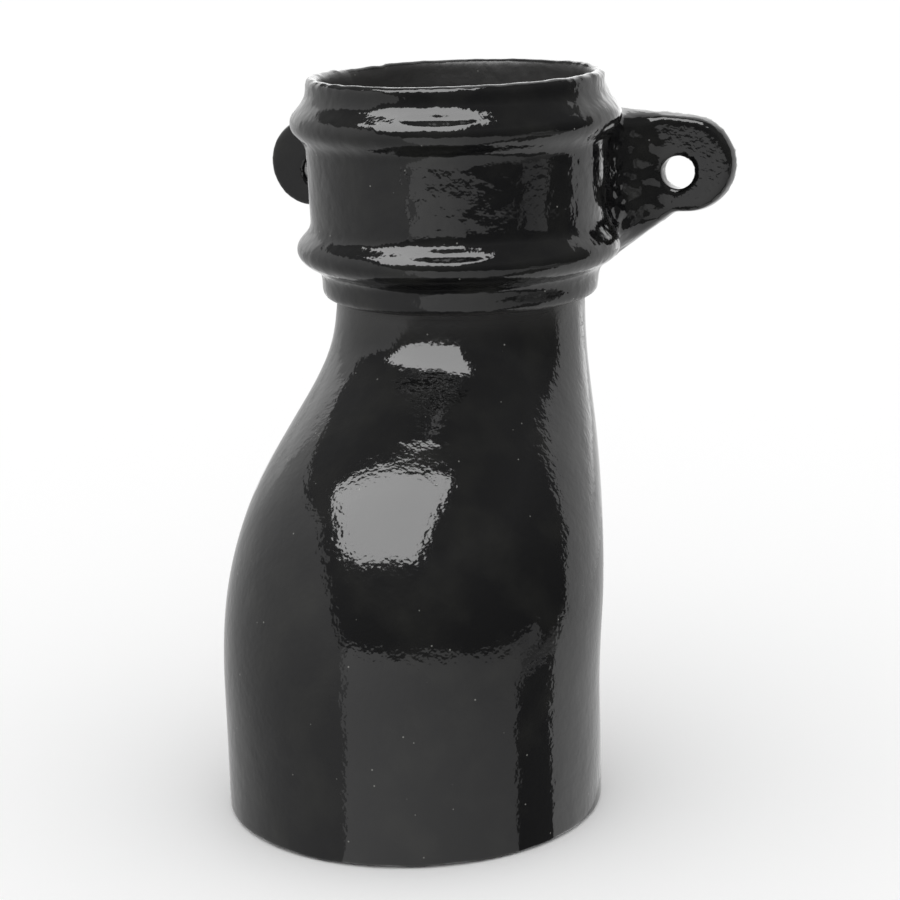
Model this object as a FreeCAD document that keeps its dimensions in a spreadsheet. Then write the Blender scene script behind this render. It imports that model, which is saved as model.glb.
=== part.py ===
import FreeCAD, Part
import math
import os
import Sketcher

# Cast-iron rainwater downpipe shoe, one casting with two fixing ears, in millimetres.
# Heights are measured up from the outlet that it stands on. +Z runs up the pipe's axis,
# -Y points away from the wall, and the ears stand out along X. The finished casting is
# then lowered, so that its origin lies on the pipe's axis at the seat of the pipe's end.

SIZES = {
    # pipe that enters the socket, and the room left round it for the joint
    "pipe_radius": 41.0,
    "joint_gap": 3.0,
    # wall of the body, thicker across the bend where it slopes, and the rounding of its end
    "wall": 5.0,
    "bend_wall": 6.8,
    "outlet_round": 1.2,
    # radius of the body's outlet end, how far the neck is inside the socket's bore, and the
    # share of the widening from neck to outlet that each station between them has
    "skirt_radius": 63.1,
    "neck_step": 1.0,
    "breast_share": 0.846,
    "shoulder_share": 0.592,
    "throat_share": 0.318,
    "nape_share": 0.085,
    # rise of each station above the one below it
    "hem_rise": 23.5,
    "skirt_rise": 23.0,
    "belly_rise": 26.0,
    "breast_rise": 22.0,
    "shoulder_rise": 17.0,
    "throat_rise": 15.0,
    "nape_rise": 17.0,
    "neck_rise": 18.7,
    # throw of each station forward of the one above it
    "nape_throw": 3.6,
    "throat_throw": 8.6,
    "shoulder_throw": 14.1,
    "breast_throw": 15.6,
    "belly_throw": 11.5,
    "skirt_throw": 5.5,
    # lean of the stations across the bend, front edge up, in degrees
    "belly_lean": 2.9,
    "breast_lean": 10.6,
    "shoulder_lean": 15.1,
    "throat_lean": 15.5,
    "nape_lean": 8.5,
    # socket, from the collar under it to the lip
    "collar_step": 5.0,
    "collar_round": 3.0,
    "cove_radius": 2.2,
    "seat_rise": 8.8,
    "lower_bead_rise": 17.3,
    "bead_spacing": 43.8,
    "lip_rise": 15.7,
    "barrel_foot_wall": 7.1,
    "barrel_top_wall": 8.0,
    "lip_wall": 7.4,
    "lip_round": 1.4,
    "bead_radius": 6.1,
    "bead_sink": 0.9,
    "bead_fillet": 1.8,
    # ears, just above the middle between the beads
    "ear_lift": 0.7,
    "hole_spacing": 135.0,
    "hole_radius": 5.7,
    "hole_drop": 2.7,
    "ear_end_lead": 2.8,
    "ear_end_radius": 17.4,
    "ear_shoulder_rise": 26.4,
    "ear_back": 45.2,
    "ear_thickness": 6.4,
    "ear_taper": 2.0,
    "ear_draft": 9.0,
    "ear_root_radius": 18.0,
    "ear_round": 1.2,
    "ear_bite": 3.0,
    "web_tip_setback": 4.7,
    "web_foot_sink": 6.0,
    "web_foot_rise": 5.1,
}

# Sizes that follow from the ones above, as formulas of the sheet
FORMULAS = {
    "bore_radius": "pipe_radius + joint_gap",
    "neck_radius": "bore_radius - neck_step",
    "neck_bore": "neck_radius - wall",
    "widening": "skirt_radius - neck_radius",
    "breast_radius": "neck_radius + widening * breast_share",
    "shoulder_radius": "neck_radius + widening * shoulder_share",
    "throat_radius": "neck_radius + widening * throat_share",
    "nape_radius": "neck_radius + widening * nape_share",
    "body_height": "hem_rise + skirt_rise + belly_rise + breast_rise + shoulder_rise"
                   " + throat_rise + nape_rise + neck_rise",
    "seat_height": "body_height + seat_rise",
    "lower_bead_height": "body_height + lower_bead_rise",
    "upper_bead_height": "lower_bead_height + bead_spacing",
    "total_height": "upper_bead_height + lip_rise",
    "collar_radius": "neck_radius + collar_step",
    "foot_radius": "bore_radius + barrel_foot_wall",
    "top_radius": "bore_radius + barrel_top_wall",
    "lip_radius": "bore_radius + lip_wall",
    "lower_bead_centre": "foot_radius - bead_sink",
    "upper_bead_centre": "top_radius - bead_sink",
    "ear_height": "lower_bead_height + bead_spacing / 2 + ear_lift",
    "ear_shoulder_height": "ear_height + ear_shoulder_rise",
    "hole_height": "ear_height - hole_drop",
    "hole_reach": "hole_spacing / 2",
    "ear_centre_reach": "hole_reach + ear_end_lead",
    "ear_reach": "ear_centre_reach + ear_end_radius",
    "web_tip_reach": "ear_centre_reach - web_tip_setback",
    "web_foot_reach": "collar_radius - web_foot_sink",
    "web_foot_height": "body_height + web_foot_rise",
}

# Stations of the body from the outlet up: name, radius, wall and lean
STATIONS = [
    ("outlet", "skirt_radius", "wall", None),
    ("hem", "skirt_radius", "wall", None),
    ("skirt", "skirt_radius", "wall", None),
    ("belly", "skirt_radius", "wall", "belly_lean"),
    ("breast", "breast_radius", "bend_wall", "breast_lean"),
    ("shoulder", "shoulder_radius", "bend_wall", "shoulder_lean"),
    ("throat", "throat_radius", "bend_wall", "throat_lean"),
    ("nape", "nape_radius", "wall", "nape_lean"),
    ("neck", "neck_radius", "wall", None),
]
# Rises from the outlet up and throws from the neck down, one for each step between stations
RISES = ["hem_rise", "skirt_rise", "belly_rise", "breast_rise",
         "shoulder_rise", "throat_rise", "nape_rise", "neck_rise"]
THROWS = ["nape_throw", "throat_throw", "shoulder_throw", "breast_throw", "belly_throw", "skirt_throw"]

doc = FreeCAD.newDocument("downpipe_shoe")


# Spreadsheet of sizes
def make_sheet():
    made = doc.addObject("Spreadsheet::Sheet", "sizes")
    entries = [(alias, str(value)) for alias, value in SIZES.items()]
    entries += [(alias, "=" + formula) for alias, formula in FORMULAS.items()]
    for row, (alias, content) in enumerate(entries, start=1):
        made.set(f"A{row}", alias)
        made.set(f"B{row}", content)
        made.setAlias(f"B{row}", alias)
    doc.recompute()
    return made


sheet = make_sheet()


def size(alias):
    return float(sheet.get(alias))


def cell(alias):
    return "sizes." + alias


# Sketch helpers
def start_sketch(body, name, role):
    plane = next(item for item in body.Origin.OriginFeatures if item.Role == role)
    sketch = body.newObject("Sketcher::SketchObject", name)
    sketch.AttachmentSupport = [(plane, "")]
    sketch.MapMode = "FlatFace"
    return sketch


def bind(sketch, expression, kind, *place):
    index = sketch.addConstraint(Sketcher.Constraint(kind, *place))
    sketch.setExpression(f"Constraints[{index}]", expression)


class Profile:
    """A closed run of lines and arcs, joined end to end in one sketch."""

    def __init__(self, sketch):
        self.sketch = sketch
        self.pieces = []
        self.joins = []

    def line(self, start, end, join="Tangent"):
        shape = Part.LineSegment(FreeCAD.Vector(*start, 0), FreeCAD.Vector(*end, 0))
        return self.keep(shape, 1, 2, join)

    def arc(self, start, end, centre, turns_left, join="Tangent"):
        circle = Part.Circle()
        circle.Center = FreeCAD.Vector(*centre, 0)
        circle.Radius = math.dist(start, centre)
        first, last = (start, end) if turns_left else (end, start)
        angles = [math.atan2(point[1] - centre[1], point[0] - centre[0]) for point in (first, last)]
        if angles[1] < angles[0]:
            angles[1] += 2 * math.pi
        shape = Part.ArcOfCircle(circle, *angles)
        return self.keep(shape, *((1, 2) if turns_left else (2, 1)), join)

    def keep(self, shape, first_end, last_end, join):
        index = self.sketch.addGeometry(shape, False)
        self.pieces.append((index, first_end, last_end))
        self.joins.append(join)
        return index

    def close(self):
        # each piece meets the next one in the way that it was drawn to
        for place, (index, _, last_end) in enumerate(self.pieces):
            following, first_end, _ = self.pieces[(place + 1) % len(self.pieces)]
            self.sketch.addConstraint(
                Sketcher.Constraint(self.joins[place], index, last_end, following, first_end))

    def at(self, index, end, across=None, up=None):
        # distances of one end of a piece from the sketch's origin
        if across:
            bind(self.sketch, cell(across), "DistanceX", -1, 1, index, end, size(across))
        if up:
            bind(self.sketch, cell(up), "DistanceY", -1, 1, index, end, size(up))

    def upright(self, *indices):
        for index in indices:
            self.sketch.addConstraint(Sketcher.Constraint("Vertical", index))

    def level(self, *indices):
        for index in indices:
            self.sketch.addConstraint(Sketcher.Constraint("Horizontal", index))

    def radius(self, index, alias):
        bind(self.sketch, cell(alias), "Radius", index, size(alias))


# Body: round stations that swing forward, lean and widen, lofted outside and again for the core
def draw_stations(body, ending, cored):
    sketches = []
    for place, (name, outer, wall, lean) in enumerate(STATIONS):
        sketch = start_sketch(body, name + ending, "XY_Plane")
        below = RISES[:place]
        above = THROWS[:len(RISES) - place]
        if lean:
            turn = FreeCAD.Rotation(FreeCAD.Vector(-1, 0, 0), size(lean))
            sketch.AttachmentOffset = FreeCAD.Placement(FreeCAD.Vector(), turn)
            sketch.setExpression("AttachmentOffset.Rotation.Angle", cell(lean) + " * 1 deg")
        if below:
            sketch.setExpression("AttachmentOffset.Base.z", " + ".join(cell(alias) for alias in below))
        if above:
            forward = " + ".join(cell(alias) for alias in above)
            sketch.setExpression("AttachmentOffset.Base.y", f"-({forward})")
        radius = size(outer) - size(wall) if cored else size(outer)
        sketch.addGeometry(Part.Circle(FreeCAD.Vector(), FreeCAD.Vector(0, 0, 1), radius), False)
        sketch.addConstraint(Sketcher.Constraint("Coincident", 0, 3, -1, 1))
        bind(sketch, cell(outer) + " - " + cell(wall) if cored else cell(outer), "Radius", 0, radius)
        sketches.append(sketch)
    return sketches


def make_body_form():
    body = doc.addObject("PartDesign::Body", "body_form")
    for kind, name, ending, cored in (("AdditiveLoft", "bent_body", "_station", False),
                                      ("SubtractiveLoft", "water_way", "_core", True)):
        sketches = draw_stations(body, ending, cored)
        loft = body.newObject("PartDesign::" + kind, name)
        loft.Profile = sketches[0]
        loft.Sections = sketches[1:]
        doc.recompute()
    edges = [f"Edge{number}" for number, edge in enumerate(loft.Shape.Edges, start=1)
             if edge.BoundBox.ZMax < size("outlet_round") / 2]
    rounded = body.newObject("PartDesign::Fillet", "outlet_edges")
    rounded.Base = (loft, edges)
    rounded.setExpression("Radius", cell("outlet_round"))
    doc.recompute()
    return body


# Socket: one turned section with a collar, two half-round beads, a lip and the pipe's seat
def bead_meeting(line_radius, centre, side, fillet):
    # where a fillet between an upright line and a bead touches them, side 1 above and -1 below
    across = line_radius + fillet - centre[0]
    along = math.sqrt((size("bead_radius") + fillet) ** 2 - across ** 2)
    middle = (line_radius + fillet, centre[1] + side * along)
    share = size("bead_radius") / (size("bead_radius") + fillet)
    on_bead = tuple(bead + (point - bead) * share for bead, point in zip(centre, middle))
    return (line_radius, middle[1]), on_bead, middle


def make_socket_form():
    body = doc.addObject("PartDesign::Body", "socket_form")
    sketch = start_sketch(body, "socket_section", "XZ_Plane")
    base, top, seat = size("body_height"), size("total_height"), size("seat_height")
    collar, lip, bore = size("collar_radius"), size("lip_radius"), size("bore_radius")
    turn, edge, inner = size("collar_round"), size("lip_round"), size("neck_bore")
    lower = (size("lower_bead_centre"), size("lower_bead_height"))
    upper = (size("upper_bead_centre"), size("upper_bead_height"))
    cove = bead_meeting(collar, lower, -1, size("cove_radius"))
    foot = bead_meeting(size("foot_radius"), lower, 1, size("bead_fillet"))
    head = bead_meeting(size("top_radius"), upper, -1, size("bead_fillet"))
    neck = bead_meeting(lip, upper, 1, size("bead_fillet"))

    run = Profile(sketch)
    underside = run.line((inner, base), (collar - turn, base))
    collar_turn = run.arc((collar - turn, base), (collar, base + turn), (collar - turn, base + turn), True)
    collar_side = run.line((collar, base + turn), cove[0])
    cove_arc = run.arc(cove[0], cove[1], cove[2], False)
    lower_bead = run.arc(cove[1], foot[1], lower, True)
    foot_arc = run.arc(foot[1], foot[0], foot[2], False)
    barrel = run.line(foot[0], head[0])
    head_arc = run.arc(head[0], head[1], head[2], False)
    upper_bead = run.arc(head[1], neck[1], upper, True)
    lip_arc = run.arc(neck[1], neck[0], neck[2], False)
    lip_side = run.line(neck[0], (lip, top - edge))
    outer_edge = run.arc((lip, top - edge), (lip - edge, top), (lip - edge, top - edge), True)
    rim = run.line((lip - edge, top), (bore + edge, top))
    inner_edge = run.arc((bore + edge, top), (bore, top - edge), (bore + edge, top - edge), True)
    bore_side = run.line((bore, top - edge), (bore, seat), "Coincident")
    seat_face = run.line((bore, seat), (inner, seat), "Coincident")
    neck_side = run.line((inner, seat), (inner, base), "Coincident")
    run.close()
    run.level(underside, rim, seat_face)
    run.upright(collar_side, lip_side, bore_side, neck_side)
    run.at(underside, 1, "neck_bore", "body_height")
    run.at(collar_side, 1, "collar_radius")
    run.at(lower_bead, 3, "lower_bead_centre", "lower_bead_height")
    run.at(upper_bead, 3, "upper_bead_centre", "upper_bead_height")
    run.at(barrel, 1, "foot_radius")
    run.at(barrel, 2, "top_radius")
    run.at(lip_side, 1, "lip_radius")
    run.at(bore_side, 2, "bore_radius", "seat_height")
    run.at(rim, 1, None, "total_height")
    run.radius(collar_turn, "collar_round")
    run.radius(cove_arc, "cove_radius")
    for index in (lower_bead, upper_bead):
        run.radius(index, "bead_radius")
    for index in (foot_arc, head_arc, lip_arc):
        run.radius(index, "bead_fillet")
    for index in (outer_edge, inner_edge):
        run.radius(index, "lip_round")
    turned = body.newObject("PartDesign::Revolution", "turned_socket")
    turned.Profile = sketch
    turned.ReferenceAxis = (sketch, ["V_Axis"])
    turned.Angle = 360
    doc.recompute()
    return body


# Ears: a flat lug with a web down to the collar, drawn for one side and mirrored
def make_ear_form():
    body = doc.addObject("PartDesign::Body", "ear_form")
    reach, height, end = size("ear_centre_reach"), size("ear_height"), size("ear_end_radius")
    tip = (size("web_tip_reach"), height - end)
    foot = (size("web_foot_reach"), size("web_foot_height"))
    shoulder = size("ear_shoulder_height")
    # where the sloping upper edge touches the round end
    fall = math.atan2(shoulder - height, reach) - math.asin(end / math.hypot(reach, shoulder - height))
    crown = (reach + end * math.sin(fall), height + end * math.cos(fall))

    sketch = start_sketch(body, "ear_outline", "XZ_Plane")
    sketch.setExpression("AttachmentOffset.Base.z", "-" + cell("ear_back"))
    run = Profile(sketch)
    upper_edge = run.line((0, shoulder), crown)
    round_end = run.arc(crown, (reach, height - end), (reach, height), False)
    under_edge = run.line((reach, height - end), tip, "Coincident")
    web_edge = run.line(tip, foot, "Coincident")
    lower_edge = run.line(foot, (0, foot[1]), "Coincident")
    middle = run.line((0, foot[1]), (0, shoulder), "Coincident")
    run.close()
    run.level(under_edge, lower_edge)
    sketch.addConstraint(Sketcher.Constraint("PointOnObject", middle, 1, -2))
    sketch.addConstraint(Sketcher.Constraint("PointOnObject", middle, 2, -2))
    run.at(upper_edge, 1, None, "ear_shoulder_height")
    run.at(round_end, 3, "ear_centre_reach", "ear_height")
    run.at(web_edge, 1, "web_tip_reach")
    run.at(lower_edge, 1, "web_foot_reach", "web_foot_height")
    run.radius(round_end, "ear_end_radius")
    plate = body.newObject("PartDesign::Pad", "ear_plate")
    plate.Profile = sketch
    plate.setExpression("Length", cell("ear_back"))
    plate.setExpression("TaperAngle", "-" + cell("ear_draft"))
    doc.recompute()

    # the front is cut back to the ear's face, which sweeps into the barrel in a hollow curve
    slope = math.radians(size("ear_taper"))
    root, barrel = size("ear_root_radius"), size("foot_radius")
    far = (size("ear_reach") + size("ear_thickness"), size("ear_back") - size("ear_thickness"))
    lift = far[1] * math.cos(slope) - far[0] * math.sin(slope) - root
    along = math.sqrt((barrel + root) ** 2 - lift ** 2)
    hollow = (along * math.cos(slope) - lift * math.sin(slope),
              along * math.sin(slope) + lift * math.cos(slope))
    on_barrel = tuple(part * barrel / (barrel + root) for part in hollow)
    on_face = (hollow[0] - root * math.sin(slope), hollow[1] + root * math.cos(slope))
    sketch = start_sketch(body, "ear_relief", "XY_Plane")
    run = Profile(sketch)
    spoke = run.line((0, 0), on_barrel, "Perpendicular")
    root_arc = run.arc(on_barrel, on_face, hollow, False)
    face = run.line(on_face, far, "Coincident")
    outer = run.line(far, (far[0], 0), "Coincident")
    base = run.line((far[0], 0), (0, 0), "Coincident")
    run.close()
    run.upright(outer)
    run.level(base)
    sketch.addConstraint(Sketcher.Constraint("Coincident", spoke, 1, -1, 1))
    bind(sketch, cell("foot_radius"), "Distance", spoke, barrel)
    bind(sketch, cell("ear_taper") + " * 1 deg", "Angle", -1, 1, face, 1, slope)
    bind(sketch, cell("ear_reach") + " + " + cell("ear_thickness"), "DistanceX", -1, 1, face, 2, far[0])
    bind(sketch, cell("ear_back") + " - " + cell("ear_thickness"), "DistanceY", -1, 1, face, 2, far[1])
    run.radius(root_arc, "ear_root_radius")
    relief = body.newObject("PartDesign::Pocket", "front_relief")
    relief.Profile = sketch
    relief.Type = "ThroughAll"
    relief.Midplane = True
    doc.recompute()

    # rounded front edge, all round the face and along the hollow
    front = [piece for piece in relief.Shape.Faces if is_front(piece)]
    edges = [f"Edge{number}" for number, edge in enumerate(relief.Shape.Edges, start=1)
             if sum(edge.isPartner(other) for piece in front for other in piece.Edges) == 1
             and edge.CenterOfMass.x > on_barrel[0] + size("ear_round")]
    rounded = body.newObject("PartDesign::Fillet", "ear_edges")
    rounded.Base = (relief, edges)
    rounded.setExpression("Radius", cell("ear_round"))
    doc.recompute()

    # the plate bites into the socket's wall and leaves its bore clear
    sketch = start_sketch(body, "bore_clearance", "XY_Plane")
    sketch.addGeometry(Part.Circle(FreeCAD.Vector(), FreeCAD.Vector(0, 0, 1), size("bore_radius")), False)
    sketch.addConstraint(Sketcher.Constraint("Coincident", 0, 3, -1, 1))
    bind(sketch, cell("foot_radius") + " - " + cell("ear_bite"), "Radius", 0, size("bore_radius"))
    cleared = body.newObject("PartDesign::Pocket", "cleared_bore")
    cleared.Profile = sketch
    cleared.Type = "ThroughAll"
    cleared.Midplane = True
    doc.recompute()

    # screw hole
    sketch = start_sketch(body, "screw_hole", "XZ_Plane")
    spot = FreeCAD.Vector(size("hole_reach"), size("hole_height"), 0)
    sketch.addGeometry(Part.Circle(spot, FreeCAD.Vector(0, 0, 1), size("hole_radius")), False)
    bind(sketch, cell("hole_reach"), "DistanceX", -1, 1, 0, 3, size("hole_reach"))
    bind(sketch, cell("hole_height"), "DistanceY", -1, 1, 0, 3, size("hole_height"))
    bind(sketch, cell("hole_radius"), "Radius", 0, size("hole_radius"))
    drilled = body.newObject("PartDesign::Pocket", "drilled_hole")
    drilled.Profile = sketch
    drilled.Type = "ThroughAll"
    drilled.Midplane = True
    doc.recompute()

    both = body.newObject("PartDesign::Mirrored", "both_ears")
    both.TransformMode = "Whole shape"
    both.MirrorPlane = (next(item for item in body.Origin.OriginFeatures if item.Role == "YZ_Plane"), [""])
    body.Tip = both
    doc.recompute()
    return body


def is_front(face):
    # the ear's flat face and the hollow that leads from it to the barrel
    middle = face.CenterOfMass
    normal = face.normalAt(*face.Surface.parameter(middle))
    flat = isinstance(face.Surface, Part.Plane)
    hollow = isinstance(face.Surface, Part.Cylinder) and abs(face.Surface.Axis.z) > 0.99
    return middle.x > size("web_foot_reach") and normal.y < -0.5 and (flat or hollow)


# Casting: the three forms poured as one piece, set down so that the pipe's seat is at the origin
casting = doc.addObject("Part::MultiFuse", "shoe_casting")
casting.Shapes = [make_socket_form(), make_body_form(), make_ear_form()]
casting.Refine = True
casting.Label = "shoe_casting"
casting.setExpression("Placement.Base.z", "-" + cell("seat_height"))
doc.recompute()

for item in doc.Objects:
    if "Invalid" in item.State or "Error" in item.State:
        raise RuntimeError(f"{item.Label} did not build: {item.State}")
if casting.Shape.isNull() or not casting.Shape.isValid() or len(casting.Shape.Solids) != 1:
    raise RuntimeError("the casting isn't one valid solid")

os.makedirs("parts", exist_ok=True)
casting.Shape.exportStep(f"parts/{casting.Label}.step")
print(casting.Label, "volume", round(casting.Shape.Volume), "box", casting.Shape.BoundBox)
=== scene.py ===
import math

import bmesh
import bpy
import numpy as np
from mathutils import Euler, Matrix, Vector, noise


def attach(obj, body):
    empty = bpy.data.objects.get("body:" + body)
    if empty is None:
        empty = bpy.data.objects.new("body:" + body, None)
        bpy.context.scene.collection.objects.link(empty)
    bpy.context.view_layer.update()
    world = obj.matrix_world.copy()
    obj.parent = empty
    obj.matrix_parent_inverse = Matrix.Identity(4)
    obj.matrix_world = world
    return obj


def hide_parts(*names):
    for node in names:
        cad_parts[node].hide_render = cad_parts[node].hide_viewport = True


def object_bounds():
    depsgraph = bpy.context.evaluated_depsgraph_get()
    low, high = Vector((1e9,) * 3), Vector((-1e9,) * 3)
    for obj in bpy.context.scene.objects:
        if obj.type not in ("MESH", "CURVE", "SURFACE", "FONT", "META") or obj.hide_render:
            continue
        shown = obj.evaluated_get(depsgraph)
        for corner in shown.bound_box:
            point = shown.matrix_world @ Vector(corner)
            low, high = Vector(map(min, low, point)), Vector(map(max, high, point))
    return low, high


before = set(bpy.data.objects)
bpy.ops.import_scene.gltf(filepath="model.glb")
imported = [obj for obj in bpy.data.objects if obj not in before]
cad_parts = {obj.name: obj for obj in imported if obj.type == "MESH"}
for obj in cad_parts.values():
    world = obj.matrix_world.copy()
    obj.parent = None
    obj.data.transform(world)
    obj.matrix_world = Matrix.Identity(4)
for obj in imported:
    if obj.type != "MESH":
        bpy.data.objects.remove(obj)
cadLow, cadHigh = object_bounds()
scene = bpy.context.scene
scene.view_settings.view_transform = "Standard"
mm = 0.001
weld = 1e-6     # points this near are one, m
print("frame loaded, box in mm", [round(v / mm, 1) for v in cadHigh - cadLow])


# camera, as it stood for the photo

cameraSet = {
    "place": (273.46, -777.86, 145.82),  # mm
    "turn": 19.737,                      # degrees to the right of the front
    "dip": 14.348,
    "roll": -1.544,
    "lens": 96.663,
}


def makeCamera():
    turn, dip, roll = (math.radians(cameraSet[key]) for key in ("turn", "dip", "roll"))
    ahead = Vector((-math.sin(turn) * math.cos(dip), math.cos(turn) * math.cos(dip), -math.sin(dip)))
    side = Vector((math.cos(turn), math.sin(turn), 0))
    above = side.cross(ahead)
    right = math.cos(roll) * side + math.sin(roll) * above
    top = math.cos(roll) * above - math.sin(roll) * side
    data = bpy.data.cameras.new("photoCamera")
    data.lens = cameraSet["lens"]
    data.sensor_width = 36
    data.clip_start, data.clip_end = 0.01, 50
    made = bpy.data.objects.new("photoCamera", data)
    made.matrix_world = Matrix.Translation(Vector(cameraSet["place"]) * mm) @ Matrix(
        (right, top, -ahead)).transposed().to_4x4()
    scene.collection.objects.link(made)
    scene.camera = made


makeCamera()
print("camera set")


# mesh helpers

def makeObject(name, bm):
    data = bpy.data.meshes.new(name)
    bm.to_mesh(data)
    bm.free()
    made = bpy.data.objects.new(name, data)
    scene.collection.objects.link(made)
    return made


def smoothStep(low, high, value):
    t = max(0.0, min(1.0, (value - low) / (high - low)))
    return t * t * (3 - 2 * t)


class Pen:
    # draws a section in the XZ plane, a line or an arc at a time, in mm
    def __init__(self, bm, across, up):
        self.bm = bm
        self.tip = bm.verts.new((across * mm, 0, up * mm))

    def line(self, across, up):
        made = bmesh.ops.extrude_vert_indiv(self.bm, verts=[self.tip])["verts"][0]
        made.co = Vector((across * mm, 0, up * mm))
        self.tip = made

    def arc(self, across, up, degrees, steps=8):
        made = bmesh.ops.spin(
            self.bm, geom=[self.tip], cent=(across * mm, 0, up * mm), axis=(0, -1, 0),
            angle=math.radians(degrees), steps=steps)
        self.tip = made["geom_last"][0]


def closeSpin(bm, steps):
    bmesh.ops.remove_doubles(bm, verts=bm.verts, dist=weld)
    bmesh.ops.spin(
        bm, geom=bm.verts[:] + bm.edges[:], cent=(0, 0, 0), axis=(0, 0, 1),
        angle=2 * math.pi, steps=steps, use_merge=True)
    bmesh.ops.remove_doubles(bm, verts=bm.verts, dist=weld)
    bmesh.ops.recalc_face_normals(bm, faces=bm.faces)


# socket: collar, two beads, barrel, lip and the pipe's seat, turned about the pipe's axis

socket = {
    "neckBore": 38.0,
    "bore": 44.0,
    "mouth": 46.4,          # the bore opens a little towards the rim, as its core was drawn
    "collar": 48.0,
    "collarRound": 3.0,
    "underside": -8.8,
    "lowerBead": 8.5,       # height of the bead's middle
    "upperBead": 52.3,
    "beadRadius": 5.4,
    "beadSink": 0.2,
    "barrelFoot": 51.1,
    "barrelTop": 52.0,
    "lip": 51.4,
    "lipRound": 1.4,
    "rim": 68.0,
    "cove": (58, 2.2),      # slope in degrees and fillet of each flank of the beads
    "foot": (42, 3.0),
    "head": (45, 2.4),
    "neck": (42, 5.0),
    "beadSteps": 24,
    "turns": 200,
}


def flank(wall, middle, height, shape, side):
    # where a bead's crown ends, where its sloping flank ends, and the centre of the fillet to the wall
    slope, fillet, radius = math.radians(shape[0]), shape[1], socket["beadRadius"]
    crown = middle + radius * math.cos(slope), height + side * radius * math.sin(slope)
    start = wall + fillet * (1 - math.cos(slope))
    rise = (crown[0] - start) / math.tan(slope)
    foot = start, crown[1] + side * rise
    return crown, foot, (wall + fillet, foot[1] + side * fillet * math.sin(slope))


def makeSocketRing():
    bm = bmesh.new()
    s = socket
    low = s["barrelFoot"] - s["beadSink"], s["lowerBead"]
    top = s["barrelTop"] - s["beadSink"], s["upperBead"]
    cove = flank(s["collar"], *low, s["cove"], -1)
    foot = flank(s["barrelFoot"], *low, s["foot"], 1)
    head = flank(s["barrelTop"], *top, s["head"], -1)
    neck = flank(s["lip"], *top, s["neck"], 1)
    pen = Pen(bm, s["neckBore"], s["underside"])
    pen.line(s["collar"] - s["collarRound"], s["underside"])
    pen.arc(s["collar"] - s["collarRound"], s["underside"] + s["collarRound"], 90)
    for wall, below, bead, above, under, over in (
            ("collar", cove, low, foot, "cove", "foot"), ("barrelTop", head, top, neck, "head", "neck")):
        pen.line(s[wall], below[2][1])
        pen.arc(*below[2], -s[under][0])
        pen.line(*below[0])
        pen.arc(*bead, s[under][0] + s[over][0], s["beadSteps"])
        pen.line(*above[1])
        pen.arc(*above[2], -s[over][0])
    pen.line(s["lip"], s["rim"] - s["lipRound"])
    pen.arc(s["lip"] - s["lipRound"], s["rim"] - s["lipRound"], 90)
    pen.line(s["mouth"] + s["lipRound"], s["rim"])
    pen.arc(s["mouth"] + s["lipRound"], s["rim"] - s["lipRound"], 90)
    pen.line(s["bore"], 0)
    pen.line(s["neckBore"], 0)
    pen.line(s["neckBore"], s["underside"])
    closeSpin(bm, s["turns"])
    return makeObject("socketRing", bm)


# ears: the CAD ears, cut free of the body below the collar

ears = {
    "cutHeight": -6.0,
    # the copy's own ring is drawn into the turned ring's metal
    "tuck": 0.3,
    "ringReach": 57.5,
    "ringFade": 1.05,           # and fades out at this many times its reach
    "boreReach": 3.0,           # points this near the bore belong to the core
    "coreReach": 48.2,
    "coreFrom": 30.0,           # height above which the core is opened
    "rimFrom": 66.0,
    "rimTuck": 5,               # the rim goes down by this many tucks
    "seatNear": 0.1,
    "turn": (31, 24, 17),       # degrees, so that no edge of an ear runs along the voxels
    "voxel": 1.12,
    "smoothing": 3,             # passes
    "softRim": 64.0,            # height above which the rim gets more of them
    # the right hole: across, up, radius, and how far out its wall is made true
    "hole": (67.5, 28.4, 5.7, 6.1),
    "holeFlare": 0.5,           # share of its softened edge that is kept
    "plateFrom": 38.0,
    # the root of the right ear: its middle, and how much taller than wide it is
    "root": (54, 26, 28),
    "rootStretch": 2.4,
    "roots": [(24, 14), (19, 14), (14, 14)],    # reach round a root, and passes of smoothing
    "flatFrom": 60.5,           # the plate's part with the hole is left as it is
}


def makeEarStock():
    bm = bmesh.new()
    bm.from_mesh(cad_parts["shoe_casting"].data)
    bmesh.ops.remove_doubles(bm, verts=bm.verts, dist=weld)
    bmesh.ops.bisect_plane(
        bm, geom=bm.verts[:] + bm.edges[:] + bm.faces[:], plane_co=(0, 0, ears["cutHeight"] * mm),
        plane_no=(0, 0, -1), clear_outer=True)
    edges = [edge for edge in bm.edges if edge.is_boundary]
    bmesh.ops.bridge_loops(bm, edges=edges)
    limit, tuck = ears["ringReach"] * mm, ears["tuck"] * mm
    fadeEnd = limit * ears["ringFade"]
    for v in bm.verts:
        reach = math.hypot(v.co.x, v.co.y)
        if reach < fadeEnd:
            inward = reach - tuck * (1 - smoothStep(limit, fadeEnd, reach))
            if reach < (socket["bore"] + ears["boreReach"]) * mm:
                inward = ears["coreReach"] * mm if v.co.z > ears["coreFrom"] * mm else reach + tuck
            v.co.xy *= inward / reach
        if reach < limit and v.co.z > ears["rimFrom"] * mm:
            v.co.z -= ears["rimTuck"] * tuck
        elif reach < limit and abs(v.co.z) < ears["seatNear"] * mm:
            v.co.z -= tuck
    return makeObject("earStock", bm)


def joined(name, parts):
    # one object of several, which go
    bm = bmesh.new()
    for part in parts:
        bm.from_mesh(part.data)
        bpy.data.objects.remove(part)
    return makeObject(name, bm)


def soften(bm, verts, passes):
    for _ in range(passes):
        bmesh.ops.smooth_vert(
            bm, verts=verts, factor=0.5, use_axis_x=True, use_axis_y=True, use_axis_z=True)


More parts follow.
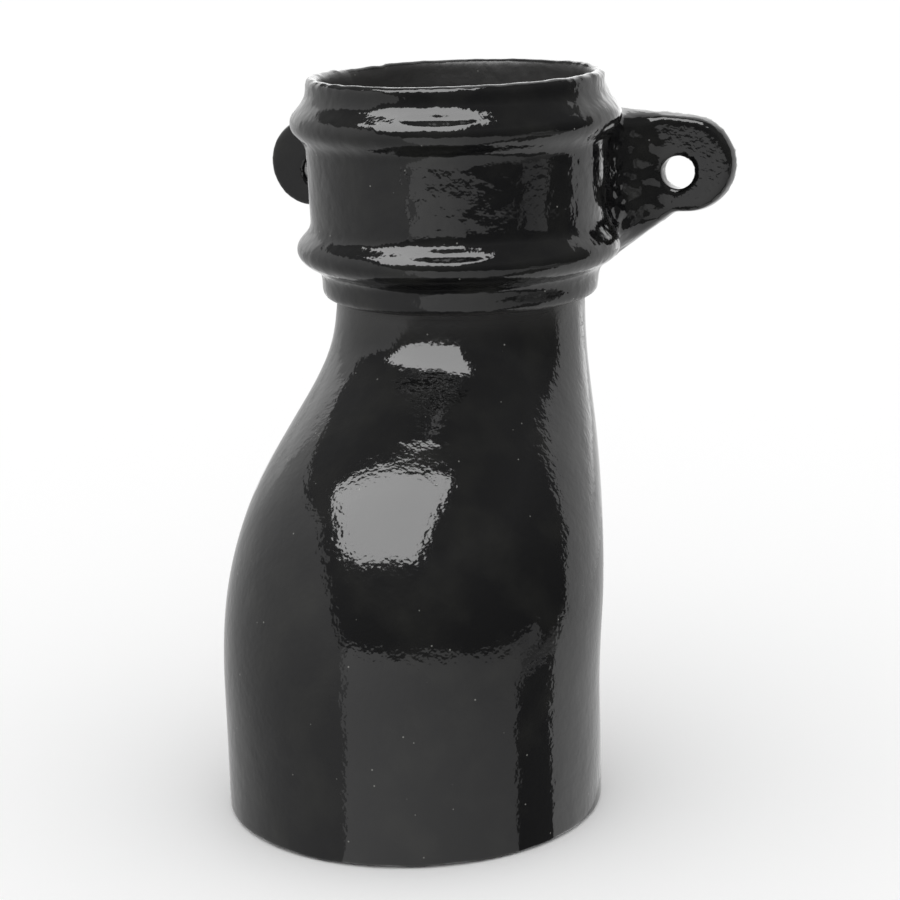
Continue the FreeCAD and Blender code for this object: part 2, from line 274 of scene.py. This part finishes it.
def evaluated(thing):
    # mesh of an object with its modifiers applied
    bm = bmesh.new()
    bm.from_object(thing, bpy.context.evaluated_depsgraph_get())
    return bm


def trueHoles(bm):
    across, up, radius, reach = ears["hole"]
    for v in bm.verts:
        x, y, z = v.co / mm
        away = Vector((abs(x) - across, z - up))
        if y > ears["plateFrom"] and away.length < reach:
            away = away.normalized() * (radius + ears["holeFlare"] * max(away.length - radius, 0))
            v.co.x, v.co.z = math.copysign(across + away.x, x) * mm, (up + away.y) * mm


def makeUpper():
    stock = joined("upperStock", [makeSocketRing(), makeEarStock()])
    turn = Euler([math.radians(angle) for angle in ears["turn"]]).to_matrix().to_4x4()
    stock.data.transform(turn)
    skin = stock.modifiers.new("oneSkin", "REMESH")
    skin.mode = "VOXEL"
    skin.voxel_size = ears["voxel"] * mm
    bm = evaluated(stock)
    bpy.data.objects.remove(stock)
    bmesh.ops.transform(bm, verts=bm.verts, matrix=turn.inverted())
    soften(bm, bm.verts, ears["smoothing"])
    ring = [v for v in bm.verts if math.hypot(v.co.x, v.co.y) < ears["ringReach"] * mm]
    soften(bm, ring, ears["smoothing"])
    soften(bm, [v for v in bm.verts if v.co.z > ears["softRim"] * mm], ears["smoothing"])
    across, back, up = (value * mm for value in ears["root"])
    plate = ears["flatFrom"] * mm
    for reach, passes in ears["roots"]:
        near = [v for v in bm.verts if v.co.y > 0 and abs(v.co.x) < plate and math.hypot(
            abs(v.co.x) - across, v.co.y - back, (v.co.z - up) / ears["rootStretch"]) < reach * mm]
        soften(bm, near, passes)
    trueHoles(bm)
    return makeObject("upper", bm)


# body: rings that swing forward, lean and widen, inside and outside

body = {
    # height, throw, radius, lean in degrees and wall of each station, from the outlet up, mm
    "stations": [
        (-171.0, 58.9, 63.1, 0.0, 5.0),
        (-147.5, 58.9, 63.1, 0.0, 5.0),
        (-124.5, 58.9, 63.1, 0.0, 5.0),
        (-98.5, 53.4, 63.1, 2.9, 5.0),
        (-76.5, 41.9, 60.0, 10.6, 6.8),
        (-59.5, 26.3, 54.9, 15.1, 6.8),
        (-44.5, 12.2, 49.4, 15.5, 6.8),
        (-27.5, 3.6, 44.7, 8.5, 5.0),
        (-8.8, 0.0, 43.0, 0.0, 5.0),
    ],
    "segments": 176,
    "rings": 76,
    "innerRings": 38,
    "tuck": 2.0,          # length of the neck inside the collar
    "flare": 1.06,        # of the core's top end, which stays inside the collar's metal
    "outletRound": 1.2,
    "outletSteps": 4,
}


def naturalCurve(places, values):
    # smooth curve through the values, straight at both ends
    places, values = np.array(places), np.array(values)
    steps, last = np.diff(places), len(places) - 1
    matrix, target = np.eye(last + 1), np.zeros_like(values)
    for i in range(1, last):
        matrix[i, i - 1:i + 2] = steps[i - 1], 2 * (steps[i - 1] + steps[i]), steps[i]
        target[i] = 6 * (
            (values[i + 1] - values[i]) / steps[i] - (values[i] - values[i - 1]) / steps[i - 1])
    bends = np.linalg.solve(matrix, target)

    def at(place):
        i = min(int(np.searchsorted(places[1:-1], place, "right")), last - 1)
        step, a, b = steps[i], places[i + 1] - place, place - places[i]
        cubic = (bends[i] * a ** 3 + bends[i + 1] * b ** 3) / (6 * step)
        return cubic + (values[i] / step - bends[i] * step / 6) * a + (
            values[i + 1] / step - bends[i + 1] * step / 6) * b

    return at


def ringPlaces(inside, count):
    # placing of a unit circle for each ring from the outlet to the neck
    stations = body["stations"]
    run = [0.0]
    for low, high in zip(stations, stations[1:]):
        run.append(run[-1] + math.hypot(high[0] - low[0], high[1] - low[1]))
    rows = []
    for height, throw, radius, lean, wall in stations:
        radius -= wall if inside else 0
        lean = math.radians(lean)
        rows.append((height, throw, radius, radius * math.cos(lean), radius * math.sin(lean)))
    curve = naturalCurve(run, rows)
    for i in range(count + 1):
        height, throw, wide, deep, rise = curve(run[-1] * i / count) * mm
        yield Matrix(((wide, 0, 0, 0), (0, deep, 0, -throw), (0, -rise, 1, height), (0, 0, 0, 1)))


def nextRing(bm, edges, move):
    made = bmesh.ops.extrude_edge_only(bm, edges=edges)["geom"]
    verts = [part for part in made if isinstance(part, bmesh.types.BMVert)]
    ring = set(verts)
    edges = [part for part in made
             if isinstance(part, bmesh.types.BMEdge) and set(part.verts) <= ring]
    bmesh.ops.transform(bm, verts=verts, matrix=move)
    return edges


def makeBodyTube():
    b = body
    places = list(ringPlaces(False, b["rings"]))
    inner = list(ringPlaces(True, b["innerRings"]))[::-1]
    tuck = Matrix.Translation((0, 0, b["tuck"] * mm))
    flare = Matrix.Diagonal((b["flare"], b["flare"], 1, 1))
    places += [tuck @ places[-1], tuck @ flare @ inner[0]] + inner
    bm = bmesh.new()
    verts = bmesh.ops.create_circle(bm, segments=b["segments"], radius=1)["verts"]
    firstEdges = edges = bm.edges[:]
    bmesh.ops.transform(bm, verts=verts, matrix=places[0])
    for before, after in zip(places, places[1:]):
        edges = nextRing(bm, edges, after @ before.inverted())
    bmesh.ops.bridge_loops(bm, edges=firstEdges + edges)
    low = b["stations"][0][0] * mm
    rim = [edge for edge in bm.edges if all(abs(v.co.z - low) < weld for v in edge.verts)
           and edge.calc_face_angle(0) > 1]
    bmesh.ops.bevel(
        bm, geom=rim, offset=b["outletRound"] * mm, offset_type="OFFSET", segments=b["outletSteps"],
        profile=0.5, affect="EDGES", material=-1)
    bmesh.ops.recalc_face_normals(bm, faces=bm.faces)
    return makeObject("bodyTube", bm)


# casting: both parts in one piece, with the unevenness of sand casting

casting = {
    "waves": [(0.30, 42.0), (0.10, 13.0)],  # depth and length of the surface's waves, mm
    "lean": 0.0085,                         # the socket leans this much to one side
    "leanFrom": 2.0,
    "leanTo": 20.0,
    "earLean": 0.02,                        # and the ears a little more
    "earTilt": 0.028,                       # their tops stand forward
    "tiltFrom": 54.0,
    "tiltTo": 64.0,
    # worn edges: depth, upwards, and length of the wear, and where it starts and is full, mm
    "rimWear": (-0.5, 5.0, 65.5, 67.5),
    "outletWear": (0.7, 9.0, -165, -170.5),
    # rough metal in the ears' roots: depth, length and reach, mm
    "lumps": (1.3, 3.6, 19),
    "lumpCore": 0.4,                        # share of the reach at full depth
    "lumpStretch": 2,
}


def roughen(bm):
    c = casting
    bm.normal_update()
    moves = []
    across, back, up = ears["root"]
    amount, length, reach = c["lumps"]
    for v in bm.verts:
        x, y, z = v.co / mm
        depth = 0
        for waveDepth, waveLength in c["waves"]:
            depth += waveDepth * (noise.noise(v.co / (waveLength * mm)) - 1) / 2
        away = math.hypot(abs(x) - across, y - back, (z - up) / c["lumpStretch"])
        if y > 0 and away < reach:
            share = amount * (1 - smoothStep(c["lumpCore"] * reach, reach, away))
            depth += share * (noise.noise(v.co / (length * mm)) - 1) / 2
        move = v.normal * depth
        for wearDepth, wearLength, begin, full in (c["rimWear"], c["outletWear"]):
            wear = (1 + noise.noise(v.co / (wearLength * mm))) / 2
            move.z += smoothStep(begin, full, z) * wearDepth * wear
        moves.append(move * mm)
    side = socket["lip"] * mm
    for v, move in zip(bm.verts, moves):
        share = smoothStep(c["leanFrom"] * mm, c["leanTo"] * mm, v.co.z)
        past = math.copysign(max(0, abs(v.co.x) - side), v.co.x)
        move.z += share * (c["lean"] * (v.co.x - side) + c["earLean"] * past)
        share *= smoothStep(c["tiltFrom"] * mm, c["tiltTo"] * mm, abs(v.co.x))
        move.y -= share * c["earTilt"] * (v.co.z - up * mm)
        v.co += move


def makeCasting():
    stock = joined("castStock", [makeUpper(), makeBodyTube()])
    bm = evaluated(stock)
    bpy.data.objects.remove(stock)
    roughen(bm)
    for face in bm.faces:
        face.smooth = True
    made = makeObject("castShoe", bm)
    print("casting made,", len(made.data.polygons), "faces")
    return made


# paint

class Wire:
    # one output of a shader tree, with arithmetic
    def __init__(self, tree, output):
        self.tree, self.output = tree, output

    def math(self, operation, *values):
        made = self.tree.nodes.new("ShaderNodeMath")
        made.operation = operation
        for place, value in zip(made.inputs, values):
            plug(self.tree, place, value)
        return Wire(self.tree, made.outputs[0])

    def __add__(self, other):
        return self.math("ADD", self, other)

    def __radd__(self, other):
        return self.math("ADD", other, self)

    def __sub__(self, other):
        return self.math("SUBTRACT", self, other)

    def __rsub__(self, other):
        return self.math("SUBTRACT", other, self)

    def __mul__(self, other):
        return self.math("MULTIPLY", self, other)

    def __rmul__(self, other):
        return self.math("MULTIPLY", other, self)


def plug(tree, place, value):
    if isinstance(value, Wire):
        tree.links.new(value.output, place)
    else:
        place.default_value = value


class Mixer:
    # a material's tree, started empty
    def __init__(self, name):
        self.material = bpy.data.materials.new(name)
        self.material.use_nodes = True
        self.tree = self.material.node_tree
        self.tree.nodes.clear()

    def node(self, kind, settings, inputs, output=0):
        made = self.tree.nodes.new(kind)
        for key, value in settings.items():
            if key == "stops":
                for place, (position, level) in enumerate(value):
                    stop = made.color_ramp.elements
                    spot = stop[place] if place < 2 else stop.new(position)
                    spot.position = position
                    spot.color = (level, level, level, 1)
            else:
                setattr(made, key, value)
        for key, value in inputs.items():
            plug(self.tree, made.inputs[key], value)
        return Wire(self.tree, made.outputs[output])

    def finish(self, shader):
        out = self.tree.nodes.new("ShaderNodeOutputMaterial")
        self.tree.links.new(shader.output, out.inputs["Surface"])
        return self.material


paint = {
    "colour": (0.0045, 0.0045, 0.0048, 1),
    "dust": (0.011, 0.011, 0.010, 1),
    "blotch": (60, 4),          # noise scale per metre, and detail
    "dusty": (0.45, 0.75),      # levels of the blotches where dust starts and is full
    "roughness": 0.05,
    "roughnessRange": 0.05,
    "ior": 1.5,
    # inside this radius, above this height, the coat is thin and dull, mm
    "core": (47.6, 46.6),
    "coreHeight": (-20, 0),
    "coreColour": (0.03, 0.029, 0.028, 1),
    "coreRoughness": 0.4,
    # relief: noise scale per metre, detail and depth in mm
    "relief": [
        (300, 2, 0.085),        # orange peel
        (600, 1, 0.035),        # finer dimples of the sand
        (1100, 3, 0.006),       # casting grain under the paint
        (90, 1, 0.20),          # slow sags
    ],
    "speckle": (620, 2, 0.045),     # pits on the ears
    "speckleReach": (60, 66),       # which start this far out, mm
    "uneven": (150, 1, 0.25),       # the socket's slow unevenness
    "unevenHeight": (-12, 0),
    "patch": (170, 2, 0.11),        # rough place on the barrel
    "patchMiddle": (14, -48, 28),
    "patchReach": 32,
    # runs in the paint: height, middle and spread, mm
    "runs": [
        (0.22, (10, -73, -42), (8, 9, 2.0)),            # low ridge on the breast
        (-0.7, (12.5, -53.4, 57.0), (7.5, 8, 1.1)),     # dents along the beads
        (-0.75, (14, -52.5, 13.0), (8.5, 8, 1.25)),
    ],
    "runEnd": 2.0,              # a run ends at this many spreads
    "specks": (150, 0.055),     # dust in the paint: scale and size
    "speckColour": (0.16, 0.16, 0.15, 1),
}


def makePaint():
    p = paint
    mix = Mixer("blackGlossPaint")
    place = mix.node("ShaderNodeTexCoord", {}, {}, "Object")

    def cloud(scale, detail):
        return mix.node(
            "ShaderNodeTexNoise", {}, {"Vector": place, "Scale": scale, "Detail": detail}, "Fac")

    def relief(layer):
        scale, detail, depth = layer
        return cloud(scale, detail) * depth

    def ramp(value, low, high):
        return mix.node("ShaderNodeMapRange", {"interpolation_type": "SMOOTHSTEP"}, {
            "Value": value, "From Min": low, "From Max": high})

    def rampMm(value, ends):
        return ramp(value, ends[0] * mm, ends[1] * mm)

    def blend(factor, first, second):
        return mix.node("ShaderNodeMix", {"data_type": "RGBA"}, {0: factor, 6: first, 7: second}, 2)

    def vector(operation, first, second, output):
        return mix.node("ShaderNodeVectorMath", {"operation": operation}, {0: first, 1: second}, output)

    def metres(point):
        return [value * mm for value in point]

    # colour and gloss
    blotch = cloud(*p["blotch"])
    low, high = p["dusty"]
    dusty = mix.node("ShaderNodeValToRGB", {"stops": [(low, 0), (high, 1)]}, {"Fac": blotch})
    colour = blend(dusty, p["colour"], p["dust"])
    rough = p["roughness"] + blotch * p["roughnessRange"]
    across, deep, up = (
        mix.node("ShaderNodeSeparateXYZ", {}, {"Vector": place}, axis) for axis in "XYZ")
    square = across * across + deep * deep
    inside = rampMm(square.math("SQRT", square), p["core"]) * rampMm(up, p["coreHeight"])
    colour = blend(inside, colour, p["coreColour"])
    rough = rough + inside * p["coreRoughness"]
    scale, size = p["specks"]
    speck = mix.node("ShaderNodeTexVoronoi", {}, {"Vector": place, "Scale": scale}, "Distance")
    colour = blend(ramp(speck, size, size / 2), colour, p["speckColour"])

    # relief
    height = relief(p["relief"][0])
    for layer in p["relief"][1:]:
        height = height + relief(layer)
    onEar = rampMm(across.math("ABSOLUTE", across), p["speckleReach"])
    height = height + onEar * relief(p["speckle"])
    height = height + (1 - onEar) * rampMm(up, p["unevenHeight"]) * relief(p["uneven"])
    away = vector("DISTANCE", place, metres(p["patchMiddle"]), "Value")
    height = height + rampMm(away, (p["patchReach"], 0)) * relief(p["patch"])
    for depth, middle, spread in p["runs"]:
        away = vector("SUBTRACT", place, metres(middle), "Vector")
        away = vector("DIVIDE", away, metres(spread), "Vector")
        away = mix.node("ShaderNodeVectorMath", {"operation": "LENGTH"}, {0: away}, "Value")
        height = height + ramp(away, p["runEnd"], 0.0) * depth
    bump = mix.node("ShaderNodeBump", {}, {"Strength": 1.0, "Distance": mm, "Height": height})
    return mix.finish(mix.node("ShaderNodeBsdfPrincipled", {}, {
        "Base Color": colour, "Roughness": rough, "IOR": p["ior"], "Normal": bump}))


shoe = makeCasting()
shoe.data.materials.append(makePaint())
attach(shoe, "root")
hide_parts("shoe_casting")
print("paint made")


# studio: pale floor, even white dome, a softbox and cards that only the gloss sees

studio = {
    "floor": (0.97, 0.97, 0.97, 1),
    "floorSize": 14.0,
    "dome": 1.04,
    "middle": (0, -40, 0),    # the cards stand round this point, mm
    # each card glows at its level and is seen only in the gloss: the cards paint the reflections of the
    # floor, walls, boards and flags round the shoe, with the light and shade on them
    # name: near edge's start and end, far edge's start and end
    # each corner is degrees round from the front, radius and height in m, and level
    "cards": {
        "leftFloor": (
            (-150, 0.06, -0.17, 0.7), (-1.2, 0.0806, -0.17, 0.5),
            (-140, 0.7, -0.17, 0.7), (-18, 0.7, -0.17, 0.6)),
        "leftWall": (
            (-150, 0.7, -0.17, 0.7), (-18, 0.7, -0.17, 0.6),
            (-150, 0.7, 0.06, 0.75), (-18, 0.7, 0.02, 0.7)),
        "leftBack": (
            (-150, 0.7, -0.06, 0.9), (-117, 0.7, -0.02, 0.95),
            (-150, 0.7, 0.30, 1.5), (-117, 0.7, 0.37, 1.35)),
        "leftSide": (
            (-117, 0.7, 0.05, 0.74), (-60, 0.7, 0.03, 0.72),
            (-117, 0.7, 0.37, 0.85), (-60, 0.7, 0.52, 1.0)),
        "leftFront": (
            (-60, 0.7, 0.03, 0.72), (-18, 0.7, 0.02, 0.7),
            (-60, 0.7, 0.52, 1.0), (-18, 0.7, 0.03, 0.75)),
        "leftFlag": (
            (-150, 0.73, 0.0, 0.25), (-17, 0.73, 0.0, 0.15),
            (-150, 0.73, 0.62, 0.25), (-17, 0.73, 0.62, 0.3)),
        "frontFloor": (
            (-1.2, 0.0806, -0.17, 1.1), (38, 0.073, -0.17, 0.7),
            (-17, 0.39, -0.17, 1.1), (77, 0.39, -0.17, 0.6)),
        "frontBoard": (
            (-17, 0.39, -0.17, 1.1), (27, 0.39, -0.17, 0.86),
            (-17, 0.39, -0.02, 1.25), (27, 0.39, -0.046, 0.86)),
        "sideBoard": (
            (27, 0.39, -0.17, 0.86), (77, 0.39, -0.17, 0.6),
            (27, 0.39, -0.046, 0.86), (77, 0.39, -0.11, 0.6)),
        # a dark strip of floor beside the shoe, seen only in the gloss
        "sideFloor": (
            (38, 0.073, -0.17, 0.12), (50, 0.0717, -0.17, 0.12),
            (77, 0.39, -0.17, 0.12), (102, 0.39, -0.17, 0.12)),
        # painted shade: this floor's reflection darkens towards the back, where the shoe shades the
        # floor
        "rightFloor": (
            (50, 0.0717, -0.17, 1.1), (165, 0.05, -0.17, 0.6),
            (102, 0.39, -0.17, 1.1), (175, 0.39, -0.17, 0.7)),
        "farFloor": (
            (-17, 0.40, -0.169, 0.55), (102, 0.40, -0.169, 0.4),
            (-17, 0.75, -0.169, 0.3), (112, 0.75, -0.169, 0.2)),
        "sideBand": (
            (70, 0.745, -0.17, 0.45), (93, 0.745, -0.17, 0.6),
            (70, 0.745, -0.085, 0.45), (93, 0.745, -0.085, 0.6)),
        "flagLow": (
            (-18, 0.75, -0.17, 0.12), (116, 0.75, -0.17, 0.06),
            (-18, 0.75, 0.12, 0.16), (123, 0.75, 0.12, 0.12)),
        "flagTop": (
            (-18, 0.75, 0.12, 0.16), (123, 0.75, 0.12, 0.12),
            (-18, 0.75, 0.62, 0.34), (128, 0.75, 0.62, 0.24)),
        "roof": (
            (-150, 0.76, 0.62, 0.3), (150, 0.76, 0.62, 0.22),
            (-150, 0.02, 1.05, 0.2), (150, 0.02, 1.05, 0.2)),
        "rightBack": (
            (152, 0.75, -0.14, 1.1), (170, 0.75, -0.14, 2.2),
            (152, 0.75, 0.6, 1.1), (170, 0.75, 0.6, 2.2)),
        "back": (
            (170, 0.75, 0.0, 2.2), (218, 0.75, 0.0, 1.8),
            (170, 0.75, 0.5, 2.2), (218, 0.75, 0.5, 1.8)),
    },
    "cardStep": 5,      # degrees
    "softbox": {"place": (-0.12, -0.43, 0.5), "turn": 3, "size": (0.64, 0.58), "level": 6.4},
}


def makeFloor():
    bm = bmesh.new()
    bmesh.ops.create_grid(bm, x_segments=1, y_segments=1, size=studio["floorSize"] / 2)
    bmesh.ops.translate(bm, verts=bm.verts, vec=(0, 0, cadLow.z))
    made = makeObject("floor", bm)
    mix = Mixer("paleFloor")
    made.data.materials.append(mix.finish(mix.node(
        "ShaderNodeBsdfDiffuse", {}, {"Color": studio["floor"]})))


def onlyInGloss(thing):
    thing.visible_camera = False
    thing.visible_diffuse = False
    thing.visible_shadow = False
    thing.visible_transmission = False
    thing.visible_volume_scatter = False


def makeCard(name, corners):
    bm = bmesh.new()
    middle = Vector(studio["middle"]) * mm
    nearStart, nearEnd, farStart, farEnd = (Vector(corner) for corner in corners)
    steps = max(2, round((farEnd[0] - farStart[0]) / studio["cardStep"]))
    bmesh.ops.create_grid(bm, x_segments=steps, y_segments=1, size=0.5)
    glow = bm.verts.layers.float_color.new("glow")
    for v in bm.verts:
        across, out = v.co.x + 0.5, v.co.y + 0.5
        near, far = nearStart.lerp(nearEnd, across), farStart.lerp(farEnd, across)
        turn, radius, height, level = near.lerp(far, out)
        turn = math.radians(turn)
        v.co = middle + Vector((radius * math.sin(turn), -radius * math.cos(turn), height))
        v[glow] = (level, level, level, 1)
    made = makeObject(name, bm)
    mix = Mixer(name)
    shade = mix.node("ShaderNodeAttribute", {"attribute_name": "glow"}, {}, "Color")
    made.data.materials.append(mix.finish(mix.node(
        "ShaderNodeEmission", {}, {"Color": shade, "Strength": 1.0})))
    onlyInGloss(made)


def makeSoftbox():
    s = studio["softbox"]
    data = bpy.data.lights.new("softbox", "AREA")
    data.shape = "RECTANGLE"
    data.size, data.size_y = s["size"]
    data.energy = s["level"] * math.pi * s["size"][0] * s["size"][1]
    made = bpy.data.objects.new("softbox", data)
    scene.collection.objects.link(made)
    made.location = s["place"]
    made.rotation_euler = (0, 0, math.radians(s["turn"]))
    made.visible_camera = False
    made.visible_diffuse = False


def makeDome():
    world = bpy.data.worlds.new("dome")
    world.use_nodes = True
    back = world.node_tree.nodes["Background"]
    back.inputs["Color"].default_value = (1, 1, 1, 1)
    back.inputs["Strength"].default_value = studio["dome"]
    scene.world = world


makeFloor()
for cardName, cardCorners in studio["cards"].items():
    makeCard(cardName, cardCorners)
makeSoftbox()
makeDome()
print("studio set")
